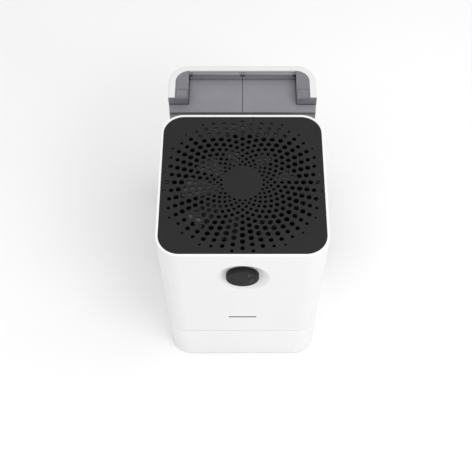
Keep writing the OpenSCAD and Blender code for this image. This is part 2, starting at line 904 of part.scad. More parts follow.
// Two lugs on the nose's wall that carry the float's pivot
module float_lugs() {
    difference() {
        for (s = [-1, 1]) translate([float_x + s * 7.5 - 2, nose_y + 2.6 - eps, float_pivot_z - 6])
            cube([4, float_pivot_y - nose_y + 2.4, 12]);
        translate([float_x - 12, float_pivot_y, float_pivot_z]) rotate([0, 90, 0])
            cylinder(h = 24, r = 2 + fit);
    }
}

// Grey top of the container: ledge, pocket walls in the corners and hinge lugs
module tank_deck() {
    open_x = 92;
    wall_t = 1.6;
    plate_x = half - 0.6;
    color([0.45, 0.45, 0.47]) drawn_out() difference() {
        union() {
            difference() {
                translate([0, 0, container_top]) linear_extrude(deck_t) container_plan(0);
                span([-open_x, band_y + 8, container_top - 1], [open_x, hinge_y - 8, deck_top + 1]);
                // lower ledge at the nose
                span([-half, nose_y - 1, deck_top - 2], [half, band_y - 0.4, deck_top + 1]);
            }
            for (s = [-1, 1]) {
                corner_block(s);
                // upright plate that closes the front of the ear
                span([s > 0 ? lid_side + 0.4 : -plate_x, ear_y - 1.6, deck_top - eps],
                    [s > 0 ? plate_x : -lid_side - 0.4, ear_y - 0.3, tank_top - 0.6]);
            }
            // back strip and the three hinge lugs
            span([-lid_side - 1, hinge_y + 1.8, deck_top - eps], [lid_side + 1, hinge_y + 3.4, hinge_z - 4]);
            for (x = [-lid_side + 2, 0, lid_side - 2]) hinge_lug(x);
        }
        for (x = [-lid_side + 2, 0, lid_side - 2]) translate([x - 3, hinge_y, hinge_z]) rotate([0, 90, 0])
            cylinder(h = 6, r = pin_r);
    }
}

module hinge_lug(x) {
    translate([x - 2, hinge_y, hinge_z]) rotate([0, 90, 0]) cylinder(h = 4, r = knuckle_r);
    span([x - 2, hinge_y - 0.1, deck_top - eps], [x + 2, hinge_y + knuckle_r, hinge_z]);
}

// Corner block beside the lids: solid at the back, an open pocket for the catch in front
module corner_block(s) {
    x0 = s > 0 ? lid_side + 0.4 : -ear_inner + 0.4;
    x1 = s > 0 ? ear_inner - 0.4 : -lid_side - 0.4;
    intersection() {
        difference() {
            span([x0, ear_y - 0.4, deck_top - eps], [x1, rim_inner_y, tank_top - 0.4]);
            span([x0 + 1.2, pocket_y[0], deck_top + 2.5], [x1 - 1.2, pocket_y[1], tank_top]);
            span([x0 + 1.6, pocket_y[1] + 1.6, deck_top - 1], [x1 - 1.6, rim_inner_y - 2, tank_top - 3]);
        }
        translate([0, 0, deck_top - 1]) linear_extrude(tank_top) container_plan(0);
    }
}

module tank_runners() {
    color("dimgray") drawn_out() for (s = [-1, 1]) translate([s * rail_x, 0, 0]) {
        span([-runner_w / 2, nose_y - runner_reach, runner_z], [runner_w / 2, inner - 8, runner_top]);
        span([-neck_w / 2, nose_y + 6, runner_top - eps], [neck_w / 2, inner - 8, tank_z]);
        span([-neck_w / 2, nose_y + 6, tank_z - eps], [neck_w / 2, ear_y - 0.4, tank_z + 2.5]);
    }
}

// One lid: a flat wing-shaped plate with an upstand and hinge barrel at the back
module lid(s) {
    gap = 0.5;
    side = half - 0.9;
    difference() {
        union() {
            mirror([s > 0 ? 0 : 1, 0, 0]) {
                span([gap, band_y, lid_top - lid_t], [lid_side - 0.4, hinge_y - 0.4, lid_top]);
                translate([0, 0, lid_top - lid_t]) linear_extrude(lid_t)
                    polygon([[gap, band_y], [side - 1.6, band_y], [side, ear_y - 2.2], [gap, ear_y - 2.2]]);
                span([gap, hinge_y - 2.4, lid_top - eps], [lid_side - 0.4, hinge_y - 0.4, hinge_z]);
                translate([5, hinge_y, hinge_z]) rotate([0, 90, 0])
                    cylinder(h = lid_side - 12, r = knuckle_r);
            }
        }
        translate([-half, hinge_y, hinge_z]) rotate([0, 90, 0]) cylinder(h = body_w, r = pin_r + fit);
        // the upstand clears the lugs at both ends
        for (x = [0, lid_side - 2, -lid_side + 2])
            translate([x, hinge_y, hinge_z - 1]) cube([8, 20, 9.6], center = true);
    }
}

module lid_left() { color([0.55, 0.55, 0.57]) drawn_out() lid(-1); }

module lid_right() { color([0.55, 0.55, 0.57]) drawn_out() lid(1); }

module lid_pin() {
    color("silver") drawn_out() translate([-lid_side, hinge_y, hinge_z]) rotate([0, 90, 0])
        cylinder(h = 2 * lid_side, r = pin_r);
}

// Sprung catch in its pocket
module catch(s) {
    x0 = s > 0 ? lid_side + 2 : -ear_inner + 2;
    x1 = s > 0 ? ear_inner - 2 : -lid_side - 2;
    drawn_out() span([x0, catch_y[0], catch_low], [x1, catch_y[1], tank_top - 0.4]);
}

module catch_left() { color([0.5, 0.5, 0.52]) catch(-1); }
module catch_right() { color([0.5, 0.5, 0.52]) catch(1); }

// Hollow float on an arm, with its pivot pins
module float() {
    y0 = float_pivot_y;
    z0 = float_pivot_z;
    color("white") drawn_out() {
        span([float_x - 15, y0 + 8, z0 - 26], [float_x + 15, y0 + 42, z0 - 4]);
        span([float_x - 4, y0 - 3, z0 - 8], [float_x + 4, y0 + 8 + eps, z0 + 3]);
        translate([float_x - 9, y0, z0]) rotate([0, 90, 0]) cylinder(h = 18, r = 2);
    }
}

body_shell();
base_housing();
base_pan();
tank_rails();
feet();
base_screws();
grille();
bay_wall();
fan_deck();
deck_screws();
motor_mount();
fan_motor();
motor_shaft();
impeller();
compressor();
terminal_cover();
compressor_grommets();
compressor_studs();
compressor_nuts();
accumulator();
discharge_pipe();
suction_pipe();
return_pipe();
liquid_pipe();
drier();
capillary_tube();
evaporator_fins();
evaporator_tubes();
condenser_fins();
condenser_tubes();
coil_frame();
drip_tray();
capacitor();
board_tray();
main_board();
power_inlet();
inlet_pins();
humidity_sensor();
tank_sensor();
control_board();
encoder();
knob_spring();
knob_carrier();
knob();
knob_face();
knob_marks();
front_mark();
intake_grille();
filter_frame();
filter_mesh();
tank_shell();
tank();
tank_deck();
tank_runners();
lid_left();
lid_right();
lid_pin();
catch_left();
catch_right();
float();
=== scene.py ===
"""Dehumidifier with its water tank drawn out: detailed mouldings, finishes, light and camera
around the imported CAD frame. Lengths are metres; MM turns the design's millimetres into metres."""
import bmesh
import bpy
import json
import math
from mathutils import Matrix, Vector
from mathutils.geometry import delaunay_2d_cdt


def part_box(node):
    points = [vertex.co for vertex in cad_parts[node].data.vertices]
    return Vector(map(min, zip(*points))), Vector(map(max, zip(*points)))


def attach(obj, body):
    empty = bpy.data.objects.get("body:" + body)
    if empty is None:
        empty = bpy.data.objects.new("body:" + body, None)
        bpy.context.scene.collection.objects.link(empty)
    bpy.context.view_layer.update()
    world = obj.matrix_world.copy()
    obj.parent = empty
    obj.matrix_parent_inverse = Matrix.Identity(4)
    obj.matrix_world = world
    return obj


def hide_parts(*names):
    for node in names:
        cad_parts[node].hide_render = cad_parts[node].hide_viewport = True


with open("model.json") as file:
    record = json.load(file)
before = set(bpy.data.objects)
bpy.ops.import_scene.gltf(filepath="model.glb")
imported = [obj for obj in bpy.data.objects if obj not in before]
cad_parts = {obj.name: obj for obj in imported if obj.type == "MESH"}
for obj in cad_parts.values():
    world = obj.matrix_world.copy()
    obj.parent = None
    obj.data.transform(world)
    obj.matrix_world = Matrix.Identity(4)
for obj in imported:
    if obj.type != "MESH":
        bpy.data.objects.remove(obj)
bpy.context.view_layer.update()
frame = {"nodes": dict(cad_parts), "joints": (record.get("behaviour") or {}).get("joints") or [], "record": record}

MM = 0.001

# ---- driving dimensions, read from the frame where it holds them ----

tower_low, tower_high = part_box("body_shell")
skirt_low, skirt_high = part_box("base_housing")
casing_low, casing_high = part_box("tank_shell")
plate_low, plate_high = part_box("grille")
knob_low, knob_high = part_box("knob")
intake_low, intake_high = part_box("intake_grille")
lid_low, lid_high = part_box("lid_left")

HALF = tower_high.x
CORNER = 39 * MM
WALL = 3 * MM
RIM = HALF - plate_high.x
LEDGE = 6.5 * MM
KNOB_Z = (knob_low.z + knob_high.z) / 2
KNOB_R = (knob_high.z - knob_low.z) / 2
DISH_R = 45.5 * MM
DISH_DEPTH = 9.4 * MM
DISH_FLOOR_R = KNOB_R + 2.5 * MM
TANK_RIM = 13 * MM
SKIN = 2.6 * MM
PAST = HALF + MM
SHARP = 34  # degrees
CORE = 20 * MM  # inset of the points where an outline closes inside a moulding

# how far the tank stands out of the body at rest, and the front of its grey band with the tank home
TRAVEL = next(-joint["range_m"][0] for joint in frame["joints"] if joint["name"] == "tank_slide")
BAND_FRONT = lid_low.y - TRAVEL


# ---- meshes ----


def make(name, points, faces):
    """A new object from points and faces, with its faces turned outwards."""
    mesh = bpy.data.meshes.new(name)
    mesh.from_pydata(points, [], faces)
    solid = bmesh.new()
    solid.from_mesh(mesh)
    bmesh.ops.remove_doubles(solid, verts=solid.verts, dist=1e-7)
    bmesh.ops.recalc_face_normals(solid, faces=solid.faces)
    solid.to_mesh(mesh)
    solid.free()
    piece = bpy.data.objects.new(name, mesh)
    bpy.context.scene.collection.objects.link(piece)
    return piece


def rounded(corners, steps=6):
    """Outline through (u, v, radius) corners, each rounded by its own radius."""
    outline = []
    for i, (u, v, radius) in enumerate(corners):
        here = Vector((u, v))
        if radius == 0:
            outline.append(here)
            continue
        back = (Vector(corners[i - 1][:2]) - here).normalized()
        ahead = (Vector(corners[(i + 1) % len(corners)][:2]) - here).normalized()
        half_angle = back.angle(ahead) / 2
        reach = radius / math.tan(half_angle)
        centre = here + (back + ahead).normalized() * radius / math.sin(half_angle)
        start = here + back * reach - centre
        end = here + ahead * reach - centre
        turn = math.atan2(start.x * end.y - start.y * end.x, start.dot(end))
        for k in range(steps + 1):
            outline.append(centre + Matrix.Rotation(turn * k / steps, 2) @ start)
    return outline


def square_ring(half, radius, middle_y=0.0, steps=20):
    """Rounded square seen from above: points with the outward direction at each."""
    ring = []
    for k, (side_x, side_y) in enumerate(((1, 1), (-1, 1), (-1, -1), (1, -1))):
        corner = Vector((side_x * (half - radius), side_y * (half - radius) + middle_y, 0))
        for i in range(steps + 1):
            angle = math.radians(90 * (k + i / steps))
            outward = Vector((math.cos(angle), math.sin(angle), 0))
            ring.append((corner + outward * radius, outward))
    return ring


def prism(name, ring, outline):
    """Solid swept round a ring from an open outline of (inset, height) points, capped at both
    ends."""
    points = []
    for u, v in outline:
        points += [spot - outward * u + Vector((0, 0, v)) for spot, outward in ring]
    n = len(ring)
    faces = [
        (i * n + j, i * n + (j + 1) % n, (i + 1) * n + (j + 1) % n, (i + 1) * n + j)
        for i in range(len(outline) - 1)
        for j in range(n)
    ]
    faces.append(tuple(reversed(range(n))))
    faces.append(tuple(range((len(outline) - 1) * n, len(outline) * n)))
    return make(name, points, faces)


def block(name, low, high):
    """Box between two opposite corners, used to cut and to join."""
    (x0, y0, z0), (x1, y1, z1) = low, high
    plan = ((x0, y0), (x1, y0), (x1, y1), (x0, y1))
    points = [(x, y, z) for z in (z0, z1) for x, y in plan]
    faces = [(3, 2, 1, 0), (4, 5, 6, 7)]
    faces += [(k, (k + 1) % 4, 4 + (k + 1) % 4, 4 + k) for k in range(4)]
    return make(name, points, faces)


def turned(name, outline, centre, steps=96):
    """Solid turned about an axis along Y from (radius, depth) points that start and end on
    the axis."""
    points = [Vector((0, outline[0][1], 0))]
    body = outline[1:-1]
    for radius, depth in body:
        for j in range(steps):
            angle = 2 * math.pi * j / steps
            points.append(Vector((radius * math.cos(angle), depth, radius * math.sin(angle))))
    points.append(Vector((0, outline[-1][1], 0)))
    last = len(points) - 1
    faces = []
    for j in range(steps):
        k = (j + 1) % steps
        faces.append((0, 1 + j, 1 + k))
        for i in range(len(body) - 1):
            near, far = 1 + i * steps, 1 + (i + 1) * steps
            faces.append((near + j, far + j, far + k, near + k))
        end = 1 + (len(body) - 1) * steps
        faces.append((end + j, last, end + k))
    return make(name, [p + Vector(centre) for p in points], faces)


def settle(piece):
    """Applies the piece's modifiers."""
    shaped = piece.evaluated_get(bpy.context.evaluated_depsgraph_get())
    mesh = bpy.data.meshes.new_from_object(shaped)
    piece.modifiers.clear()
    piece.data = mesh


def combine(piece, tools, operation="DIFFERENCE"):
    """Cuts tools out of a piece or joins them to it; the tools are used up."""
    for tool in tools:
        step = piece.modifiers.new(operation, "BOOLEAN")
        step.operation = operation
        step.solver = "EXACT"
        step.object = tool
    settle(piece)
    for tool in tools:
        bpy.data.objects.remove(tool)


def smooth(piece, width, segments=3, sharp=SHARP, clamp=False):
    """Rounds the edges that are still sharp, and shades flat and curved faces as one moulding.
    With clamp, short edges hold the rounding back, so that no face folds over."""
    if width:
        bevel = piece.modifiers.new("bevel", "BEVEL")
        bevel.width = width
        bevel.segments = segments
        bevel.limit_method = "ANGLE"
        bevel.angle_limit = math.radians(sharp)
        bevel.use_clamp_overlap = clamp
        settle(piece)
    piece.data.shade_smooth()
    piece.data.set_sharp_from_angle(angle=math.radians(sharp))
    even = piece.modifiers.new("even", "WEIGHTED_NORMAL")
    even.keep_sharp = True


def stands_for(piece, body, slot, *nodes):
    """Says which body a piece rides on, which finish it takes and which CAD nodes it stands for."""
    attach(piece, body)
    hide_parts(*nodes)
    piece.data.materials.clear()
    piece.data.materials.append(finishes[slot])


def rest_of_cad(piece_names):
    """The CAD nodes that stay visible, rounded a little by modifiers and given their finish.
    The intake's slats keep their triangles: joined up, its front would be filled wrongly."""
    slot_of = {part["node"]: part["material_slot"] for part in frame["record"]["subparts"]}
    for name, node in frame["nodes"].items():
        for place in node.material_slots:
            place.link = "OBJECT"
            place.material = finishes[slot_of[name]]
        if name in piece_names:
            continue
        weld = node.modifiers.new("weld", "WELD")
        weld.merge_threshold = 0.01 * MM
        if name != "intake_grille":
            flat = node.modifiers.new("flat", "DECIMATE")
            flat.decimate_type = "DISSOLVE"
            flat.angle_limit = math.radians(0.4)
        bevel = node.modifiers.new("bevel", "BEVEL")
        bevel.width = 0.3 * MM
        bevel.segments = 2
        bevel.limit_method = "ANGLE"
        bevel.angle_limit = math.radians(SHARP)
        bevel.harden_normals = True


# ---- finishes ----


class Finish:
    """A node material round one Principled shader, in the object's own coordinates."""

    def __init__(self, name, roughness, metallic=0.0, specular=0.5):
        self.material = bpy.data.materials.new(name)
        self.material.use_nodes = True
        self.tree = self.material.node_tree
        self.shader = self.tree.nodes["Principled BSDF"]
        self.set("Roughness", roughness)
        self.set("Metallic", metallic)
        self.set("Specular IOR Level", specular)
        self.place = self.tree.nodes.new("ShaderNodeTexCoord").outputs["Object"]
        self.relief = None

    def set(self, socket, value):
        self.shader.inputs[socket].default_value = value

    def link(self, source, target):
        self.tree.links.new(source, target)

    def paint(self, colour):
        self.link(colour, self.shader.inputs["Base Color"])

    def gloss(self, roughness):
        self.link(roughness, self.shader.inputs["Roughness"])

    def stretched(self, stretch):
        mapping = self.tree.nodes.new("ShaderNodeMapping")
        mapping.inputs["Scale"].default_value = stretch
        self.link(self.place, mapping.inputs["Vector"])
        return mapping.outputs["Vector"]

    def noise(self, size, detail=3.0, stretch=None):
        """Noise with features of about the given size in metres."""
        node = self.tree.nodes.new("ShaderNodeTexNoise")
        node.inputs["Scale"].default_value = 1 / size
        node.inputs["Detail"].default_value = detail
        self.link(self.stretched(stretch) if stretch else self.place, node.inputs["Vector"])
        return node.outputs["Fac"]

    def cells(self, size, feature="F1", output="Distance", stretch=None):
        """Voronoi cells of about the given size in metres."""
        node = self.tree.nodes.new("ShaderNodeTexVoronoi")
        node.feature = feature
        node.inputs["Scale"].default_value = 1 / size
        self.link(self.stretched(stretch) if stretch else self.place, node.inputs["Vector"])
        return node.outputs[output]

    def hollows(self, reach):
        """Ambient occlusion: one on open faces, falling towards zero in gaps and inner corners narrower than the
        reach. Blended into a colour, it paints shade there."""
        node = self.tree.nodes.new("ShaderNodeAmbientOcclusion")
        node.inputs["Distance"].default_value = reach
        return node.outputs["AO"]

    def bands(self, pitch, axis):
        """Sine bands across one axis, one band per pitch."""
        node = self.tree.nodes.new("ShaderNodeTexWave")
        node.bands_direction = axis
        node.inputs["Scale"].default_value = math.pi / 10 / pitch
        self.link(self.place, node.inputs["Vector"])
        return node.outputs["Fac"]

    def ranged(self, value, low, high, start=0.3, end=0.7):
        """Maps start..end of a value to low..high."""
        node = self.tree.nodes.new("ShaderNodeMapRange")
        limits = (("From Min", start), ("From Max", end), ("To Min", low), ("To Max", high))
        for socket, number in limits:
            node.inputs[socket].default_value = number
        self.link(value, node.inputs["Value"])
        return node.outputs["Result"]

    def join(self, first, second, operation="MULTIPLY"):
        node = self.tree.nodes.new("ShaderNodeMath")
        node.operation = operation
        self.link(first, node.inputs[0])
        self.link(second, node.inputs[1])
        return node.outputs["Value"]

    def blend(self, factor, first, second):
        """Colour between two, each an (r, g, b) tuple or the output of another blend."""
        node = self.tree.nodes.new("ShaderNodeMix")
        node.data_type = "RGBA"
        self.link(factor, node.inputs["Factor"])
        for socket, colour in ((node.inputs[6], first), (node.inputs[7], second)):
            if isinstance(colour, tuple):
                socket.default_value = (*colour, 1)
            else:
                self.link(colour, socket)
        return node.outputs[2]

    def emboss(self, height, depth, strength=1.0):
        """Adds relief of the given depth in metres on top of what is there."""
        node = self.tree.nodes.new("ShaderNodeBump")
        node.inputs["Strength"].default_value = strength
        node.inputs["Distance"].default_value = depth
        self.link(height, node.inputs["Height"])
        if self.relief:
            self.link(self.relief, node.inputs["Normal"])
        self.relief = node.outputs["Normal"]
        self.link(self.relief, self.shader.inputs["Normal"])


def scaled(colour, factor):
    return tuple(min(1.0, c * factor) for c in colour)


def plastic(name, colour, roughness, grain=0.03, tint=0.03, specular=0.4, wear=0.0):
    """Moulded plastic: spark-eroded grain, slow tone and gloss changes, and rubbed corners."""
    f = Finish(name, roughness, specular=specular)
    slow = f.noise(90 * MM, 4)
    tone = f.blend(f.ranged(slow, 0, 1), scaled(colour, 1 - tint), scaled(colour, 1 + tint))
    if wear:
        edge = f.tree.nodes.new("ShaderNodeNewGeometry").outputs["Pointiness"]
        patches = f.ranged(f.noise(6 * MM, 4), 0.3, 1)
        rubbed = f.join(f.ranged(edge, 0, wear, 0.52, 0.6), patches)
        tone = f.blend(rubbed, tone, scaled(colour, 3))
    f.paint(tone)
    f.gloss(f.ranged(f.noise(14 * MM, 5), roughness - 0.05, roughness + 0.07))
    f.emboss(f.noise(0.55 * MM, 2), grain * MM, 0.5)
    f.emboss(f.noise(45 * MM, 1), 0.25 * MM, 0.15)
    return f.material


def brushed(name, colour, roughness, stretch, tint=0.06):
    """Drawn or rolled metal, with fine lines along one axis and duller patches."""
    f = Finish(name, roughness, metallic=1.0)
    lines = f.noise(0.5 * MM, 4, stretch)
    dull = f.noise(25 * MM, 5)
    tone = f.blend(f.ranged(lines, 0, 1), scaled(colour, 1 - tint), scaled(colour, 1 + tint))
    f.paint(f.blend(f.ranged(dull, 0, 0.5, 0.45, 0.8), tone, scaled(colour, 0.72)))
    f.gloss(f.ranged(dull, roughness - 0.06, roughness + 0.16))
    f.emboss(lines, 0.01 * MM, 0.4)
    return f.material


def galvanised(name):
    """Zinc-coated sheet with its crystal flowers, a few rubbed streaks, and painted shade that turns it near black
    in gaps and inner corners.
    """
    f = Finish(name, 0.38, metallic=1.0)
    flower = f.cells(7 * MM, output="Color")
    grey = f.tree.nodes.new("ShaderNodeRGBToBW")
    f.link(flower, grey.inputs["Color"])
    tone = f.blend(grey.outputs["Val"], (0.5, 0.52, 0.54), (0.68, 0.7, 0.71))
    streaks = f.ranged(f.noise(30 * MM, 5), 0, 0.6, 0.5, 0.75)
    streaked = f.blend(streaks, tone, (0.36, 0.37, 0.38))
    # painted shade: ambient occlusion darkens the zinc towards near black in gaps and inner corners, such as round
    # pins in their slots
    painted_shade = f.ranged(f.hollows(5 * MM), 1, 0, 0.4, 0.9)
    f.paint(f.blend(painted_shade, streaked, (0.04, 0.04, 0.042)))
    f.gloss(f.ranged(grey.outputs["Val"], 0.3, 0.5, 0, 1))
    f.emboss(f.noise(1.2 * MM, 3), 0.01 * MM, 0.4)
    return f.material


def copper():
    """Drawn copper tube: bright stretches, brown oxide and heat tint near the joints."""
    f = Finish("copper", 0.3, metallic=1.0)
    oxide = f.noise(18 * MM, 6)
    tone = f.blend(f.ranged(oxide, 0, 1, 0.4, 0.62), (0.86, 0.42, 0.27), (0.42, 0.2, 0.12))
    heat = f.ranged(f.noise(50 * MM, 3), 0, 0.5, 0.5, 0.7)
    f.paint(f.blend(heat, tone, (0.55, 0.33, 0.18)))
    f.gloss(f.ranged(oxide, 0.22, 0.5, 0.4, 0.65))
    f.emboss(f.noise(0.8 * MM, 3), 0.01 * MM, 0.4)
    return f.material


def fin_sheet():
    """Aluminium fin packs: fine lines at the pitch of the real fins, bent here and there, with painted shade in
    the gaps between them.
    """
    f = Finish("fin_aluminium", 0.35, metallic=1.0)
    # the dark bands between the bright fin lines are painted shade in the gaps between fins
    line = f.join(f.bands(1.5 * MM, "Y"), f.ranged(f.noise(9 * MM, 3), 0.7, 1.0))
    f.paint(f.blend(line, (0.25, 0.26, 0.27), (0.82, 0.83, 0.84)))
    f.gloss(f.ranged(f.noise(12 * MM, 4), 0.28, 0.5))
    f.emboss(line, 0.3 * MM, 0.6)
    return f.material


def enamel(name, colour):
    """Sprayed black enamel with orange peel and a little dust."""
    f = Finish(name, 0.34, specular=0.5)
    dust = f.ranged(f.noise(20 * MM, 6), 0, 0.35, 0.5, 0.75)
    f.paint(f.blend(dust, colour, scaled(colour, 4)))
    f.gloss(f.ranged(f.noise(8 * MM, 4), 0.28, 0.46))
    f.emboss(f.noise(2.2 * MM, 2), 0.06 * MM, 0.5)
    f.set("Coat Weight", 0.25)
    f.set("Coat Roughness", 0.15)
    return f.material


def rubber():
    """Black rubber with a grey bloom."""
    f = Finish("rubber", 0.8, specular=0.25)
    bloom = f.ranged(f.noise(7 * MM, 5), 0, 0.5, 0.45, 0.75)
    f.paint(f.blend(bloom, (0.016, 0.016, 0.016), (0.06, 0.06, 0.058)))
    f.gloss(f.ranged(f.noise(4 * MM, 4), 0.7, 0.92))
    f.emboss(f.noise(0.7 * MM, 3), 0.05 * MM, 0.6)
    return f.material


def circuit_board():
    """Green solder mask over copper tracks, with bare glass fibre showing a little."""
    f = Finish("board_green", 0.32, specular=0.5)
    tracks = f.tree.nodes.new("ShaderNodeTexVoronoi")
    tracks.distance = "MANHATTAN"
    tracks.inputs["Scale"].default_value = 1 / (6 * MM)
    f.link(f.place, tracks.inputs["Vector"])
    line = f.ranged(tracks.outputs["Distance"], 1, 0, 0.42, 0.5)
    tone = f.blend(line, (0.012, 0.11, 0.045), (0.03, 0.2, 0.08))
    f.paint(f.blend(f.ranged(f.noise(25 * MM, 4), 0, 0.4), tone, (0.02, 0.07, 0.03)))
    f.gloss(f.ranged(line, 0.4, 0.25, 0, 1))
    f.emboss(line, 0.04 * MM, 0.6)
    return f.material


def cloth():
    """Open filter weave: threads both ways with painted shade in the holes between them, and some dust."""
    f = Finish("filter_cloth", 0.9, specular=0.15)
    threads = f.join(f.bands(1.1 * MM, "Y"), f.bands(1.1 * MM, "Z"), "MAXIMUM")
    # the near-black between the threads is painted shade seen through the weave's holes
    tone = f.blend(f.ranged(threads, 0, 1, 0.5, 0.85), (0.02, 0.022, 0.025), (0.2, 0.22, 0.24))
    dust = f.ranged(f.noise(22 * MM, 5), 0, 0.5, 0.5, 0.75)
    f.paint(f.blend(dust, tone, (0.3, 0.29, 0.27)))
    f.gloss(f.ranged(f.noise(5 * MM, 3), 0.82, 0.97))
    f.emboss(threads, 0.3 * MM, 0.8)
    return f.material


def smoked(name, colour, roughness, transmission):
    """Smoke-grey tank plastic: water marks, fine grain and painted shade in gaps and inner corners, and light may
    pass through a little."""
    f = Finish(name, roughness, specular=0.45)
    f.set("Transmission Weight", transmission)
    f.set("IOR", 1.49)
    flow = f.noise(70 * MM, 4, (1, 1, 0.35))
    tone = f.blend(f.ranged(flow, 0, 1), scaled(colour, 0.95), scaled(colour, 1.05))
    marks = f.ranged(f.noise(11 * MM, 5), 0, 0.35, 0.58, 0.72)
    marked = f.blend(marks, tone, scaled(colour, 1.18))
    # painted shade: ambient occlusion darkens the grey to a fifth in gaps and inner corners, such as the seam
    # between the lids and round the hinge
    painted_shade = f.ranged(f.hollows(4 * MM), 1, 0, 0.35, 0.8)
    f.paint(f.blend(painted_shade, marked, scaled(colour, 0.2)))
    f.gloss(f.ranged(f.noise(16 * MM, 5), roughness - 0.06, roughness + 0.08))
    f.emboss(f.noise(0.6 * MM, 2), 0.025 * MM, 0.4)
    return f.material


WHITE = (0.775, 0.775, 0.775)
GREY = (0.222, 0.218, 0.243)
finishes = {
    "white_plastic": plastic("white_plastic", WHITE, 0.36, tint=0.012),
    "base_plastic": plastic("base_plastic", scaled(WHITE, 1.02), 0.36, tint=0.012),
    "shell_plastic": plastic("shell_plastic", scaled(WHITE, 0.91), 0.36, tint=0.012),
    "grille_plastic": plastic(
        "grille_plastic", (0.0145, 0.0145, 0.0145), 0.55, 0.05, 0.06, 0.18, wear=0.25),
    # near-black, darker than real black plastic, so that the parts seen through the grille's holes look as black
    # as shade: partly the parts' own black, partly painted shade
    "dark_plastic": plastic("dark_plastic", (0.003, 0.003, 0.0032), 0.8, 0.04, 0.12, 0.01),
    "inner_plastic": plastic("inner_plastic", (0.58, 0.58, 0.57), 0.5, 0.05, 0.03, 0.3),
    "rubber": rubber(),
    "zinc_steel": galvanised("zinc_steel"),
    "motor_steel": brushed("motor_steel", (0.45, 0.46, 0.47), 0.34, (1, 1, 12)),
    "black_paint": enamel("black_paint", (0.012, 0.012, 0.013)),
    "copper": copper(),
    "fin_aluminium": fin_sheet(),
    "capacitor_can": brushed("capacitor_can", (0.78, 0.78, 0.79), 0.3, (8, 8, 1)),
    "board_green": circuit_board(),
    "contact_metal": brushed("contact_metal", (0.8, 0.77, 0.68), 0.25, (12, 1, 1)),
    "knob_plastic": plastic(
        "knob_plastic", (0.013, 0.013, 0.013), 0.45, 0.03, 0.05, 0.15, wear=0.2),
    "knob_gloss": plastic("knob_gloss", (0.009, 0.009, 0.009), 0.45, 0.012, 0.05, 0.1),
    "indicator_white": plastic("indicator_white", (0.35, 0.35, 0.35), 0.4, 0.01, 0.05),
    "mark_ink": plastic("mark_ink", (0.01, 0.01, 0.01), 0.5, 0.01, 0.1, 0.2),
    "filter_cloth": cloth(),
    "tank_plastic": smoked("tank_plastic", scaled(GREY, 0.9), 0.3, 0.12),
    "lid_plastic": smoked("lid_plastic", GREY, 0.38, 0.0),
    "catch_plastic": plastic("catch_plastic", (0.15, 0.15, 0.156), 0.45, 0.04, 0.04, 0.3, wear=0.2),
}


# ---- outer mouldings ----


def tower_shell():
    """Upper moulding: thin rim round the grille, ledge, dish for the knob, and the intake's and
    the tank's openings."""
    z0, z1 = tower_low.z, tower_high.z
    ring = square_ring(HALF, CORNER)
    edge = 1.3 * MM
    shell = prism("tower_shell", ring, rounded([
        (CORE, z0, 0), (0, z0, 0.4 * MM), (0, z1, edge), (CORE, z1, 0)]))
    plate_z = plate_low.z
    hollow = prism("hollow", ring, [(WALL, z0 - 5 * MM), (WALL, plate_z - 4 * MM)])
    throat = prism("throat", ring, [(LEDGE, z0 - 5 * MM), (LEDGE, z1 + 5 * MM)])
    inset = RIM - 0.3 * MM
    seat = prism("seat", ring, rounded([
        (inset, plate_z, 0), (inset, z1 - 0.05 * MM, 0.7 * MM),
        (inset - 4 * MM, z1 + 0.4 * MM, 0)]))
    # boss behind the dish, joined before the dish is cut
    boss_start, boss_depth = WALL - MM, DISH_DEPTH + WALL
    knob_centre = (0, -HALF, KNOB_Z)
    boss = turned("boss", [
        (0, boss_start), (DISH_R + 2 * MM, boss_start), (DISH_FLOOR_R, boss_depth),
        (0, boss_depth)], knob_centre)
    combine(shell, [hollow, throat, seat])
    combine(shell, [boss], "UNION")
    # the dish's cutter widens in front of the wall, so that its lip is rounded too
    lip_rise = math.tan(math.radians(7))
    far, ahead = DISH_R * 1.5, -8 * MM
    bore = 7.05 * MM
    dish = turned("dish", rounded([
        (0, ahead, 0), (far, ahead, 0), (far, (DISH_R - far) * lip_rise, 0), (DISH_R, 0, 5 * MM),
        (DISH_FLOOR_R, DISH_DEPTH, 8 * MM), (bore, DISH_DEPTH, 0.5 * MM),
        (bore, boss_depth + MM, 0), (0, boss_depth + MM, 0)], 8), knob_centre, 144)
    band_start = BAND_FRONT - 0.6 * MM
    ear_start = casing_low.y - TRAVEL - 2.2 * MM
    lid_z = lid_low.z + 4 * MM
    band_room = block("band_room", (-PAST, band_start, z0 - MM), (PAST, PAST, lid_z))
    ear_room = block("ear_room", (-PAST, ear_start, z0 - MM), (PAST, PAST, casing_high.z + MM))
    gap = 0.4 * MM
    intake = block("intake", (-PAST, intake_low.y - gap, intake_low.z - gap),
                   (-HALF + WALL + MM, intake_high.y + gap, intake_high.z + gap))
    combine(shell, [dish, band_room, ear_room, intake])
    smooth(shell, 0.35 * MM)
    # the rounding must not rise above the design's top
    for corner in shell.data.vertices:
        corner.co.z = min(corner.co.z, z1)
    stands_for(shell, "body", "white_plastic", "body_shell")


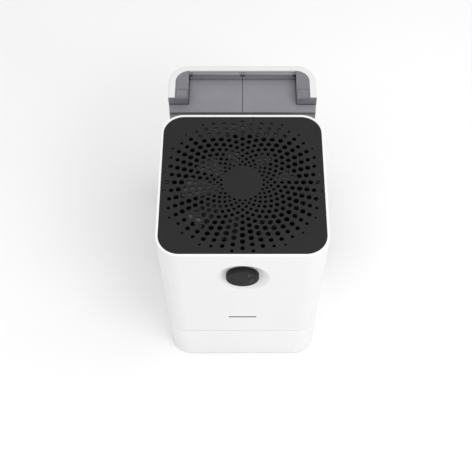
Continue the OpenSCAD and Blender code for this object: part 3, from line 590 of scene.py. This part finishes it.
def base_skirt():
    """Lower moulding, with the tank's doorway, the inlet opening and four screw blocks."""
    z0, z1 = skirt_low.z, skirt_high.z
    ring = square_ring(HALF, CORNER)
    skirt = prism("base_skirt", ring, rounded([
        (CORE, z0, 0), (0, z0, 0.8 * MM), (0, z1, 0.5 * MM), (CORE, z1, 0)]))
    hollow = prism("hollow", ring, [(WALL, z0 - MM), (WALL, z1 + MM)])
    combine(skirt, [hollow])
    pan_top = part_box("base_pan")[1].z
    block_top = pan_top + 6.2 * MM
    doorway, block_outer, screw_y, block_half = 126 * MM, 138 * MM, 105 * MM, 8 * MM
    blocks = []
    for side in (-1, 1):
        left, right = sorted((side * doorway, side * block_outer))
        for y in (-screw_y, screw_y):
            low, high = (left, y - block_half, pan_top), (right, y + block_half, block_top)
            blocks.append(block("screw_block", low, high))
    combine(skirt, blocks, "UNION")
    gap = 0.6 * MM
    high_room = block("high_room", (-PAST, BAND_FRONT - gap, block_top + gap),
                      (PAST, PAST, z1 + MM))
    low_room = block("low_room", (-doorway, BAND_FRONT, pan_top), (doorway, PAST, z1 + MM))
    inlet_y, inlet_z = (-84 * MM, -56 * MM), (40 * MM, 60 * MM)
    inlet = block("inlet", (HALF - 2 * WALL, inlet_y[0], inlet_z[0]),
                  (PAST, inlet_y[1], inlet_z[1]))
    # one at a time: cut together, they leave stray faces
    for cutter in (high_room, low_room, inlet):
        combine(skirt, [cutter])
    smooth(skirt, 0.35 * MM)
    stands_for(skirt, "body", "base_plastic", "base_housing")


def tank_casing():
    """White outer shell of the tank: a U-shaped wall with a broad rim, a floor and a grip
    recess."""
    z0, z1 = casing_low.z, casing_high.z
    middle = casing_high.y - HALF
    front = casing_low.y
    ring = square_ring(HALF, CORNER, middle)
    casing = prism("tank_casing", ring, rounded([
        (CORE, z0, 0), (0, z0, 1.2 * MM), (0, z1, 3.2 * MM), (CORE, z1, 0)]))
    ahead = block("ahead", (-PAST, middle - PAST, z0 - MM), (PAST, front, z1 + MM))
    combine(casing, [ahead])
    floor_t, rim_t = 2.4 * MM, 3 * MM
    hollow = prism("hollow", ring, [(SKIN, z0 + floor_t), (SKIN, z1 - rim_t)])
    keep = block("keep", (-PAST, middle - PAST, z0 - MM), (PAST, front + SKIN, z1 + MM))
    combine(hollow, [keep])
    well = prism("well", ring, rounded([
        (TANK_RIM, z0 + floor_t, 0), (TANK_RIM, z1, 1.2 * MM),
        (TANK_RIM - 6 * MM, z1 + 0.5 * MM, 0)]))
    lip_inset = TANK_RIM - 2 * MM
    lip = prism("lip", ring, [(lip_inset, z1 - 15 * MM), (lip_inset, z1 - 2 * MM)])
    lip_hole = prism("lip_hole", ring, [(TANK_RIM, z1 - 16 * MM), (TANK_RIM, z1)])
    lip_front = block("lip_front", (-PAST, middle - PAST, z0), (PAST, front + MM, z1 + MM))
    combine(lip, [lip_hole, lip_front])
    combine(casing, [hollow])
    combine(casing, [well])
    combine(casing, [lip], "UNION")
    grip_x, grip_z, grip_deep = 46 * MM, (282 * MM, 308 * MM), 11 * MM
    backing = 2.4 * MM
    back = casing_high.y
    pocket = block("pocket", (-grip_x - backing, back - grip_deep - backing, grip_z[0] - backing),
                   (grip_x + backing, back - MM, grip_z[1] + backing))
    combine(casing, [pocket], "UNION")
    grip = block("grip", (-grip_x, back - grip_deep, grip_z[0]), (grip_x, back + MM, grip_z[1]))
    round_edges(grip, 4 * MM)
    combine(casing, [grip])
    smooth(casing, 0.5 * MM, clamp=True)
    stands_for(casing, "tank_unit", "shell_plastic", "tank_shell")


def round_edges(piece, radius):
    """Rounds every edge of a cutter."""
    bevel = piece.modifiers.new("bevel", "BEVEL")
    bevel.width = radius
    bevel.segments = 5
    bevel.limit_method = "NONE"
    settle(piece)


# ---- top grille and knob ----


def grille_holes(half):
    """Centre and radius of every hole: rings that grow and then shrink outwards, and small holes
    towards the corners."""
    rings, around, first_r, step = 17, 24, 35.6 * MM, 5.95 * MM
    corner_hole_r, margin = 2.1 * MM, 12 * MM
    least, growth, widest, taper = 4.9, 0.83, 5, 0.36
    holes = []
    for k in range(rings + 1):
        pair = k // 2
        width = least + growth * min(pair, widest) - taper * max(pair - widest, 0) ** 2
        for i in range(around):
            angle = math.radians((i + (k + 1) % 2 / 2) * 360 / around)
            centre = Vector((math.cos(angle), math.sin(angle))) * (first_r + k * step)
            if k < rings:
                holes.append((centre, width / 2 * MM))
            elif max(abs(centre.x), abs(centre.y)) < half - margin:
                holes.append((centre, corner_hole_r))
    return holes


def grille_plate():
    """Perforated plate with every hole chamfered and the outer edge rounded."""
    z0, z1 = plate_low.z, plate_high.z
    half = plate_high.x
    edge = square_ring(half, CORNER - RIM, 0, 12)
    holes = grille_holes(half)
    sides = 20
    turns = [2 * math.pi * i / sides for i in range(sides)]
    # each level: height, and how far the outer edge is pulled in and the holes are opened
    chamfer = 0.3 * MM
    first_cut = 0.3 * chamfer
    levels = [(z0, 0), (z1 - chamfer, 0), (z1 - first_cut, first_cut), (z1, chamfer)]
    points = []
    for z, cut in levels:
        points += [Vector((spot.x, spot.y, z)) - outward * cut for spot, outward in edge]
        for centre, radius in holes:
            r = radius + cut
            points += [Vector((centre.x + r * math.cos(turn), centre.y + r * math.sin(turn), z))
                       for turn in turns]
    size = len(edge) + len(holes) * sides
    loops = [list(range(len(edge)))]
    loops += [[len(edge) + h * sides + i for i in range(sides)] for h in range(len(holes))]
    faces = []
    for level in range(len(levels) - 1):
        for loop in loops:
            for i, a in enumerate(loop):
                b = loop[(i + 1) % len(loop)]
                low, high = level * size, (level + 1) * size
                faces.append((low + a, low + b, high + b, high + a))
    edges = [(loop[i], loop[(i + 1) % len(loop)]) for loop in loops for i in range(len(loop))]
    # the flat faces: triangles between the loops, without those that lie inside one hole
    for level in (0, len(levels) - 1):
        flat = [p.xy for p in points[level * size:(level + 1) * size]]
        made = delaunay_2d_cdt(flat, edges, [], 0, 1e-9)
        origin = made[3]
        for tri in made[2]:
            corners = [origin[v][0] for v in tri]
            middle = sum((flat[c] for c in corners), Vector((0, 0))) / 3
            loops_met = {max(-1, (c - len(edge)) // sides) for c in corners}
            if len(loops_met) == 1 and -1 not in loops_met:
                continue
            if max(abs(middle.x), abs(middle.y)) > half:
                continue
            faces.append(tuple(c + level * size for c in corners))
    plate = make("grille_plate", points, faces)
    smooth(plate, 0, sharp=30)
    stands_for(plate, "body", "grille_plastic", "grille")


def knob_cap():
    """Knob with a bevelled rim round a sunk face, and its stem."""
    front = knob_low.y
    shell_back = -HALF + DISH_DEPTH - 1.4 * MM - front
    stem_back = knob_high.y - front
    r = KNOB_R
    stem, sunk = 3 * MM, 0.6 * MM
    cap = turned("knob_cap", rounded([
        (0, sunk, 0), (r - 4 * MM, sunk, 0.2 * MM), (r - 3.8 * MM, 0, 0.3 * MM),
        (r - 1.7 * MM, 0, 0.9 * MM), (r - 0.1 * MM, 1.9 * MM, 1.2 * MM),
        (r, shell_back, 0.5 * MM), (stem, shell_back, 0), (stem, stem_back, 0.4 * MM),
        (0, stem_back, 0)], 5), (0, front, KNOB_Z), 128)
    smooth(cap, 0, sharp=40)
    stands_for(cap, "knob", "knob_plastic", "knob")


tower_shell()
base_skirt()
tank_casing()
grille_plate()
knob_cap()
rest_of_cad({"body_shell", "base_housing", "tank_shell", "grille", "knob", "knob_spring"})


# ---- floor, light and camera ----


def studio():
    """Pale floor, even white surroundings and soft lights, the strongest at the front right."""
    reach = 4.0
    corners = [(-reach, -reach, 0), (reach, -reach, 0), (reach, reach, 0), (-reach, reach, 0)]
    floor = make("floor", corners, [(0, 1, 2, 3)])
    f = Finish("floor", 0.75, specular=0.2)
    f.paint(f.blend(f.ranged(f.noise(0.3, 3), 0, 1), (0.885, 0.885, 0.885), (0.9, 0.9, 0.9)))
    floor.data.materials.append(f.material)
    world = bpy.data.worlds.new("studio")
    world.use_nodes = True
    surroundings = world.node_tree.nodes["Background"]
    surroundings.inputs["Color"].default_value = (1, 1, 1, 1)
    surroundings.inputs["Strength"].default_value = 0.75
    bpy.context.scene.world = world
    target = (0, 0.05, 0.15)
    soft_light("front_right_light", (1.2, -1.2, 1.8), target, 1.2, 15.5)
    soft_light("right_light", (1.0, 0.3, 2.2), target, 1.5, 8.5)
    soft_light("left_light", (-2.0, 0, 1.6), target, 1.5, 2)
    soft_light("front_light", (0, -2.2, 1.4), target, 1.5, 4)
    soft_light("top_light", (-0.6, -0.6, 2.4), target, 1.5, 8.5)
    bpy.context.scene.view_settings.view_transform = "Standard"


def soft_light(name, place, target, size, power):
    """Square area light turned towards the target."""
    light = bpy.data.lights.new(name, "AREA")
    light.size = size
    light.energy = power
    lamp = bpy.data.objects.new(name, light)
    lamp.location = place
    lamp.rotation_euler = (Vector(target) - Vector(place)).to_track_quat("-Z", "Y").to_euler()
    bpy.context.scene.collection.objects.link(lamp)


def photo_camera():
    """Camera at the photo's place, fitted to the body's edges."""
    lens = bpy.data.cameras.new("camera")
    lens.sensor_width = 36
    lens.lens = 63.2
    lens.shift_x = -0.0138
    camera = bpy.data.objects.new("camera", lens)
    camera.location = (0, -0.7608, 1.5525)
    camera.rotation_euler = (math.radians(29.83), 0, 0)
    bpy.context.scene.collection.objects.link(camera)
    bpy.context.scene.camera = camera


studio()
photo_camera()
